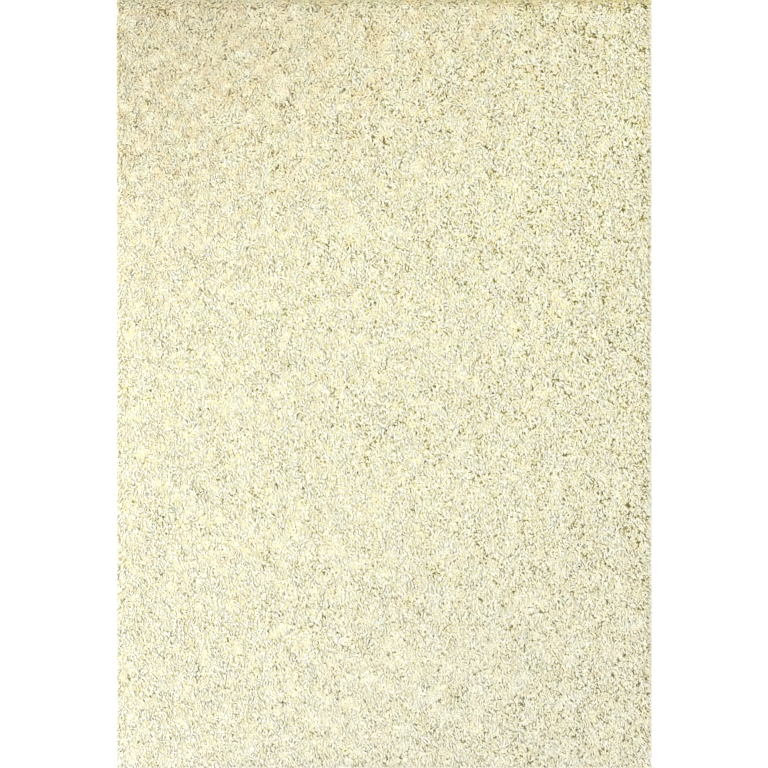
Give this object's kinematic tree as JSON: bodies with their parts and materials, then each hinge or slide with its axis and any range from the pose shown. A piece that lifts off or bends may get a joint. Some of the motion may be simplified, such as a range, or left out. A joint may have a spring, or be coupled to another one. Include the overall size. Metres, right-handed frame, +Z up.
{
  "type": "shag rug",
  "caption": "Rectangular cream shag rug with a lumpy cut pile and ragged locks of yarn round its rim, lying flat.",
  "frame": {"origin": "middle of the flat underside, on the floor", "axes": "+Z up; +Y along the length, away from the end that the pile leans towards; +X across the width"},
  "size_m": [1.6, 2.3, 0.0409],
  "materials": {
    "yarn": "matt cut pile of cream yarn",
    "ground_cloth": "plain-woven undyed cloth"
  },
  "bodies": {
    "root": {"shag_rug": "yarn"}
  },
  "joints": []
}
